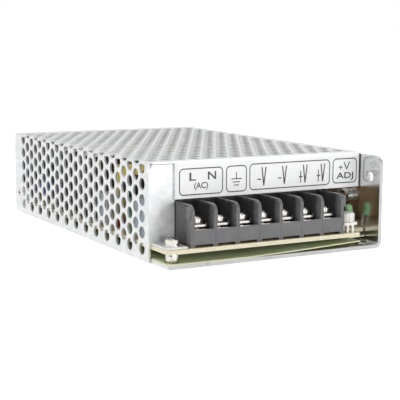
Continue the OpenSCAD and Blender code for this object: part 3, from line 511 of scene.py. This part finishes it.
def ring_winding_group():
    """Closed turns of round wire threaded round a ring core that lies flat."""
    group, given, result = new_group("GeometryNodeTree", "ring_winding", {
        "Vector": ("Centre",),
        "Float": (
            "Ring Radius", "Turn Width", "Turn Height", "Corner", "Wire",
            "Start Angle", "Step Angle", "Wander"),
        "Int": ("Turns", "Seed"),
        "Material": ("Material",),
    }, {"Geometry": ("Geometry",)})
    sides = given["Turn Width"], given["Turn Height"]
    turn = node_of(group, "GeometryNodeCurvePrimitiveQuadrilateral", *sides).outputs[0]
    path = node_of(group, "GeometryNodeFilletCurve", turn, 5, given["Corner"], mode="POLY").outputs[0]
    section = node_of(group, "GeometryNodeCurvePrimitiveCircle", 12)
    group.links.new(given["Wire"], section.inputs["Radius"])
    tube = node_of(group, "GeometryNodeCurveToMesh", path, section.outputs[0]).outputs[0]
    index = group.nodes.new("GeometryNodeInputIndex").outputs[0]
    angle = maths(group, "MULTIPLY_ADD", index, given["Step Angle"], given["Start Angle"])
    spoke = node_of(group, "ShaderNodeCombineXYZ", maths(group, "COSINE", angle), maths(group, "SINE", angle))
    spot = vector_maths(group, "ADD", scaled(group, spoke.outputs[0], given["Ring Radius"]), given["Centre"])
    back = maths(group, "MULTIPLY", given["Wander"], -1.0)
    yaw = maths(group, "ADD", angle, random_between(group, back, given["Wander"], given["Seed"]))
    upright = node_of(group, "ShaderNodeCombineXYZ", math.pi / 2, 0.0, yaw).outputs[0]
    turns = copied(group, tube, given["Turns"], spot, upright)
    painted = node_of(group, "GeometryNodeSetMaterial", turns, None, given["Material"])
    group.links.new(painted.outputs[0], result["Geometry"])
    return group


dress("output_choke_core", moulded("yellow_core", (0.40, 0.34, 0.17), 0.5))
choke_low, choke_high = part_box("output_choke_core")
wire_gap = 0.2 * mm
choke_wire = choke_low.z - board_high.z - wire_gap
choke_radius = (choke_high.x - choke_low.x) / 2
bore_share = 13 / 24
choke_bore = choke_radius * bore_share
choke_turn_count = 20
wound_sector = math.radians(330)
copper = enamelled_copper("enamelled_copper")[0]
choke_turns = grown("output_choke_turns", ring_winding_group(), {
    "Centre": (choke_low + choke_high) / 2,
    "Ring Radius": (choke_radius + choke_bore) / 2,
    "Turn Width": choke_radius - choke_bore + choke_wire + wire_gap,
    "Turn Height": choke_high.z - choke_low.z + choke_wire + wire_gap,
    "Corner": 1.1 * mm,
    "Wire": choke_wire / 2,
    "Start Angle": math.radians(15),
    "Step Angle": wound_sector / choke_turn_count,
    "Wander": math.radians(1.0),
    "Turns": choke_turn_count,
    "Seed": 7,
    "Material": copper,
})
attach(choke_turns, "supply")
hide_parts("output_choke_winding")
dress_cans("output_capacitors", "brown_sleeve", (0.12, 0.05, 0.03), (0.55, 0.42, 0.20))

# ---- Control parts ----
# A dual in-line chip in black epoxy and a pale optocoupler, three small capacitors in
# blue sleeves and four leaded resistors with their colour bands.
dress("control_chip", black_resin)
dress_cans("signal_capacitors", "blue_sleeve", (0.02, 0.04, 0.16), (0.50, 0.52, 0.56))
white_nylon = moulded("white_nylon", (0.82, 0.81, 0.77), 0.38)
dress("optocoupler", white_nylon)
resistor_coat, tree, shader = new_material("resistor_coat", (0.55, 0.42, 0.22), 0.0, 0.45)
along = axis_of(tree, millimetres(tree), "X")
band = spread(tree, maths(tree, "SINE", maths(tree, "MULTIPLY", along, math.pi)), 0.75, 0.8, 0, 1)
hue = noise(tree, millimetres(tree, (1, 0.02, 0.02)), 0.8, 0)
band_tone = two_tone(tree, spread(tree, hue, 0.45, 0.55, 0, 1), (0.35, 0.05, 0.03), (0.08, 0.05, 0.30))
tree.links.new(two_tone(tree, band, (0.55, 0.42, 0.22), band_tone), shader.inputs["Base Color"])
dress("resistors", resistor_coat)

# ---- Trimmer and indicator ----
# The adjuster is white nylon with a cross slot in its knob, which turns in its base.
# The indicator is a 3 mm lamp cast in green-tinted epoxy on tinned leads.
dress("trimmer_base", white_nylon, 0.15 * mm)
dress("trimmer_rotor", white_nylon, 0.1 * mm)
green_lens, tree, shader = new_material("green_lens", (0.08, 0.42, 0.13), 0.0, 0.12)
shader.inputs["Transmission Weight"].default_value = 0.12
shader.inputs["IOR"].default_value = 1.5
tint = placed(tree, soft_patches, millimetres(tree), 0.5, 1)["Mask"]
tree.links.new(two_tone(tree, tint, (0.26, 0.52, 0.22), (0.42, 0.70, 0.38)), shader.inputs["Base Color"])
dress("indicator_led", green_lens)
dress("led_leads", tinned)

# ---- Terminal block ----
# One moulding in charcoal thermoplastic, grained outside and polished in its seven
# bays, with a fine seam between them down its face. Inside the bays it is painted
# darker as painted shade, and the top edges of the walls between the bays are painted
# a little lighter in patches as a painted highlight.
block_low, block_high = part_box("terminal_block")
block_face = block_low.y / mm
block_top = block_high.z / mm
pole_low, pole_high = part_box("clamp_washer_1")
pole_x = (pole_low.x + pole_high.x) / 2
pole_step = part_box("clamp_washer_2")[0].x - pole_low.x
charcoal, tree, shader = new_material("charcoal_moulding", (0.13, 0.128, 0.134), 0.0, 0.36)
vector = millimetres(tree)
drift, grain = placed(tree, moulding_skin, vector, 2.0)
in_bay = spread(tree, axis_of(tree, vector, "Y"), block_face + 1.5, block_face + 4.5, 0, 1)
tone = two_tone(tree, drift, (0.128, 0.125, 0.131), (0.164, 0.161, 0.167))
# Painted shade: inside the bays the moulding is painted darker than outside.
tone = two_tone(tree, in_bay, tone, (0.045, 0.043, 0.045))
from_first_pole = maths(tree, "SUBTRACT", axis_of(tree, vector, "X"), pole_x / mm)
pole = maths(tree, "DIVIDE", from_first_pole, pole_step / mm)
seam = spread(tree, maths(tree, "PINGPONG", pole, 0.5), 0.484, 0.492, 0, 0.6)
seam = maths(tree, "MULTIPLY", seam, maths(tree, "SUBTRACT", 1.0, in_bay))
tone = two_tone(tree, seam, tone, (0.03, 0.03, 0.03))
# Painted highlight: the top edges of the walls are painted lighter in patches.
top_edge = spread(tree, axis_of(tree, vector, "Z"), block_top - 1.2, block_top, 0, 0.5)
painted_rim_highlight = maths(tree, "MULTIPLY", top_edge, spread(tree, noise(tree, vector, 0.5, 3), 0.4, 0.6, 0, 1))
tree.links.new(two_tone(tree, painted_rim_highlight, tone, (0.20, 0.20, 0.205)), shader.inputs["Base Color"])
sheen = spread(tree, grain, 0.3, 0.7, 0.30, 0.44)
polished = maths(tree, "SUBTRACT", sheen, maths(tree, "MULTIPLY", in_bay, 0.18))
tree.links.new(polished, shader.inputs["Roughness"])
roughen(tree, shader, grain, 0.02 * mm, 0.5)
dress("terminal_block", charcoal, 0.15 * mm)

# ---- Terminal plates, clamp washers and terminal screws ----
# Stamped and cold-headed brass, nickel plated. Each screw turns in its plate and
# carries its own square clamp washer up and down. The plates' pins are soldered, as
# are the bridge's and the transformer's.


def joint_row_group():
    """A row of solder fillets that hang below the board, each a little different."""
    group, given, result = new_group("GeometryNodeTree", "joint_row", {
        "Vector": ("First", "Step"),
        "Float": ("Base Radius", "Tip Radius", "Height"),
        "Int": ("Count", "Seed"),
        "Material": ("Material",),
    }, {"Geometry": ("Geometry",)})
    fillet = node_of(
        group, "GeometryNodeMeshCone", 16, None, None,
        given["Tip Radius"], given["Base Radius"], given["Height"])
    index = group.nodes.new("GeometryNodeInputIndex").outputs[0]
    spot = vector_maths(group, "ADD", scaled(group, given["Step"], index), given["First"])
    size = random_between(group, 0.85, 1.0, given["Seed"])
    girth = node_of(group, "ShaderNodeCombineXYZ", size, size, 1.0).outputs[0]
    joints = copied(group, fillet.outputs[0], given["Count"], spot, (math.pi, 0, 0), girth)
    painted = node_of(group, "GeometryNodeSetMaterial", joints, None, given["Material"])
    group.links.new(painted.outputs[0], result["Geometry"])
    return group


solder, tree, shader = new_material("solder", (0.66, 0.66, 0.65), 1.0, 0.3)
frost = placed(tree, soft_patches, millimetres(tree), 1.2, 3)["Mask"]
tree.links.new(spread(tree, frost, 0, 1, 0.2, 0.45), shader.inputs["Roughness"])
tree.links.new(two_tone(tree, frost, (0.72, 0.72, 0.71), (0.58, 0.58, 0.57)), shader.inputs["Base Color"])
joint_row = joint_row_group()
poles = len([name for name in nodes if name.startswith("clamp_washer")])
plate_pin_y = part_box("terminal_plates")[1].y - 0.4 * mm
bridge_low, bridge_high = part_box("bridge_rectifier")
bridge_pins = 4
bridge_step = 5.07 * mm
bridge_pin_x = (bridge_low.x + bridge_high.x) / 2 - 7.6 * mm
bridge_pin_y = (bridge_low.y + bridge_high.y) / 2
bobbin_low, bobbin_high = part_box("transformer_bobbin")
bobbin_pins = 5
bobbin_step = 5 * mm
bobbin_inset = 2 * mm
bobbin_pin_x = (bobbin_low.x + bobbin_high.x) / 2 - bobbin_step * (bobbin_pins - 1) / 2
front_pin_y = bobbin_low.y + bobbin_inset
rear_pin_y = bobbin_high.y - bobbin_inset
joint_rows = (
    ("terminal_joints", pole_x, plate_pin_y, pole_step, poles, 1.3 * mm),
    ("bridge_joints", bridge_pin_x, bridge_pin_y, bridge_step, bridge_pins, 1.2 * mm),
    ("front_transformer_joints", bobbin_pin_x, front_pin_y, bobbin_step, bobbin_pins, 1 * mm),
    ("rear_transformer_joints", bobbin_pin_x, rear_pin_y, bobbin_step, bobbin_pins, 1 * mm),
)
for seed, (name, first_x, y, step, count, radius) in enumerate(joint_rows):
    joints = grown(name, joint_row, {
        "First": (first_x, y, board_low.z),
        "Step": (step, 0, 0),
        "Base Radius": radius,
        "Tip Radius": 0.45 * mm,
        "Height": 0.9 * mm,
        "Count": count,
        "Seed": seed,
        "Material": solder,
    })
    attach(joints, "supply")
dress("terminal_plates", nickel, 0.1 * mm)
for name in nodes:
    if name.startswith("terminal_screw"):
        dress(name, nickel, 0.12 * mm)
    if name.startswith("clamp_washer"):
        dress(name, nickel, 0.08 * mm)

# ---- Perforated cover ----
# One sheet of galvanised steel, 0.8 mm thick, punched flat and then folded over the
# case. The zinc has a faint spangle of crystals a few millimetres across.
galvanised_sheet, tree, shader = new_material("galvanised_sheet", (0.70, 0.72, 0.74), 1.0, 0.45)
vector = millimetres(tree)
spangle = node_of(tree, "ShaderNodeTexVoronoi", vector, None, 0.5).outputs["Color"]
crystal = node_of(tree, "ShaderNodeSeparateColor", spangle).outputs["Red"]
smudge, scratch = placed(tree, sheet_wear, vector, 0.04, 0.05, 0.01)
tone = two_tone(tree, crystal, (0.74, 0.75, 0.755), (0.86, 0.865, 0.87))
tree.links.new(two_tone(tree, scratch, tone, (0.9, 0.9, 0.9)), shader.inputs["Base Color"])
haze = spread(tree, smudge, 0.3, 0.7, 0.46, 0.6)
tree.links.new(maths(tree, "ADD", haze, spread(tree, crystal, 0, 1, -0.05, 0.05)), shader.inputs["Roughness"])
roughen(tree, shader, noise(tree, vector, 0.8, 3), 0.03 * mm, 0.3)
dress("mesh_cover", galvanised_sheet)

# ---- Cover screws, corner screw and its washers ----
# Countersunk screws hold the cover to the case. The corner screw ties the flange to
# the wall through a spring washer and a flat one. All are bright nickel.
dress("cover_screws", nickel)
dress("corner_screw", nickel)
dress("corner_washers", nickel)

# ---- Printed label ----
# Satin white film stuck to the cover's front flange. Four thin rounded frames and the
# plain marks of the terminals are screen printed on it in dark ink.
label_film, tree, shader = new_material("label_film", (0.86, 0.87, 0.88), 0.0, 0.35)
vector = millimetres(tree)
grubby = spread(tree, noise(tree, vector, 0.06, 4), 0.35, 0.75, 0, 1)
tree.links.new(two_tone(tree, grubby, (0.92, 0.925, 0.93), (0.85, 0.855, 0.86)), shader.inputs["Base Color"])
tree.links.new(spread(tree, grubby, 0, 1, 0.28, 0.42), shader.inputs["Roughness"])
roughen(tree, shader, noise(tree, vector, 0.15), 0.04 * mm, 0.3)
dress("terminal_label", label_film)

print_ink, tree, shader = new_material("print_ink", (0.055, 0.048, 0.042), 0.0, 0.45)
thin_spots = spread(tree, noise(tree, millimetres(tree), 1.5, 3), 0.35, 0.7, 0, 1)
ink_tone = two_tone(tree, thin_spots, (0.045, 0.040, 0.036), (0.085, 0.075, 0.066))
tree.links.new(ink_tone, shader.inputs["Base Color"])
label_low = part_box("terminal_label")[0]
ink_height = 0.02 * mm
ink_points = []
ink_faces = []


def on_label(x, z):
    """Adds a point of ink, x and z in millimetres from the label's lower left corner."""
    ink_points.append((label_low.x + x * mm, label_low.y - ink_height, label_low.z + z * mm))


def filled(*corners):
    """Prints one filled shape with these corners, in order."""
    start = len(ink_points)
    for x, z in corners:
        on_label(x, z)
    ink_faces.append(tuple(range(start, len(ink_points))))


def bar(x0, z0, x1, z1):
    """Prints a rectangle."""
    filled((x0, z0), (x1, z0), (x1, z1), (x0, z1))


def letter_v(x0, z0, x1, z1, arm):
    """Prints a V between two corners, each arm as wide as given."""
    foot = (x0 + x1) / 2
    for top in (x0, x1 - arm):
        filled((foot - arm / 2, z0), (foot + arm / 2, z0), (top + arm, z1), (top, z1))


def rounded_frame(x0, z0, x1, z1, radius=1.9, line=0.42):
    """Prints a rounded frame, its line inside the given corners."""
    start = len(ink_points)
    steps = 8
    for inset in (0, line):
        for corner, (x, z) in enumerate(((x1, z1), (x0, z1), (x0, z0), (x1, z0))):
            middle_x = x + (-radius if x == x1 else radius)
            middle_z = z + (-radius if z == z1 else radius)
            for step in range(steps + 1):
                turn = math.pi / 2 * (corner + step / steps)
                reach = radius - inset
                on_label(middle_x + reach * math.cos(turn), middle_z + reach * math.sin(turn))
    ring = 4 * (steps + 1)
    for i in range(ring):
        j = (i + 1) % ring
        ink_faces.append((start + i, start + j, start + ring + j, start + ring + i))


def letters(words, x0, z0, x1, z1):
    """Prints letters stretched to fill the given box."""
    curve = bpy.data.curves.new("letters", "FONT")
    curve.body = words
    curve.resolution_u = 4
    curve.offset = 0.018
    carrier = bpy.data.objects.new("letters", curve)
    scene.collection.objects.link(carrier)
    view = bpy.context.evaluated_depsgraph_get()
    flat = bpy.data.meshes.new_from_object(carrier.evaluated_get(view), depsgraph=view)
    bpy.data.objects.remove(carrier)
    bpy.data.curves.remove(curve)
    xs = [v.co.x for v in flat.vertices]
    ys = [v.co.y for v in flat.vertices]
    start = len(ink_points)
    for v in flat.vertices:
        across = (v.co.x - min(xs)) / (max(xs) - min(xs))
        up = (v.co.y - min(ys)) / (max(ys) - min(ys))
        on_label(x0 + (x1 - x0) * across, z0 + (z1 - z0) * up)
    ink_faces.extend(tuple(start + i for i in face.vertices) for face in flat.polygons)
    bpy.data.meshes.remove(flat)


# One frame each for the mains, the earth, the outputs and the adjuster.
rounded_frame(1.2, 0.9, 20.3, 11.2)
rounded_frame(21.6, 1.0, 31.0, 11.3)
rounded_frame(32.1, 1.2, 70.4, 11.6)
rounded_frame(71.7, 1.5, 83.9, 11.7)
letters("L", 5.6, 6.4, 8.4, 9.5)
letters("N", 13.6, 6.5, 17.2, 9.6)
letters("(AC)", 7.7, 2.6, 13.7, 5.7)
bar(26.05, 6.1, 26.45, 8.7)
bar(24.0, 5.9, 28.6, 6.3)
bar(24.6, 4.7, 27.9, 5.1)
bar(25.2, 3.5, 27.35, 3.9)
for left, positive in ((35.8, False), (45.4, False), (55.3, True), (63.9, True)):
    bar(left, 5.05, left + 1.65, 5.55)
    if positive:
        bar(left + 0.6, 2.9, left + 1.05, 7.6)
    letter_v(left + 1.75, 2.8, left + 4.15, 10.0, 0.55)
bar(74.7, 7.85, 76.8, 8.2)
bar(75.57, 7.1, 75.92, 9.0)
letter_v(77.1, 7.1, 80.4, 10.2, 0.5)
letters("ADJ", 73.7, 2.6, 82.2, 5.9)
print_mesh = bpy.data.meshes.new("terminal_marks")
print_mesh.from_pydata(ink_points, [], ink_faces)
print_mesh.materials.append(print_ink)
terminal_marks = bpy.data.objects.new("terminal_marks", print_mesh)
scene.collection.objects.link(terminal_marks)
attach(terminal_marks, "supply")
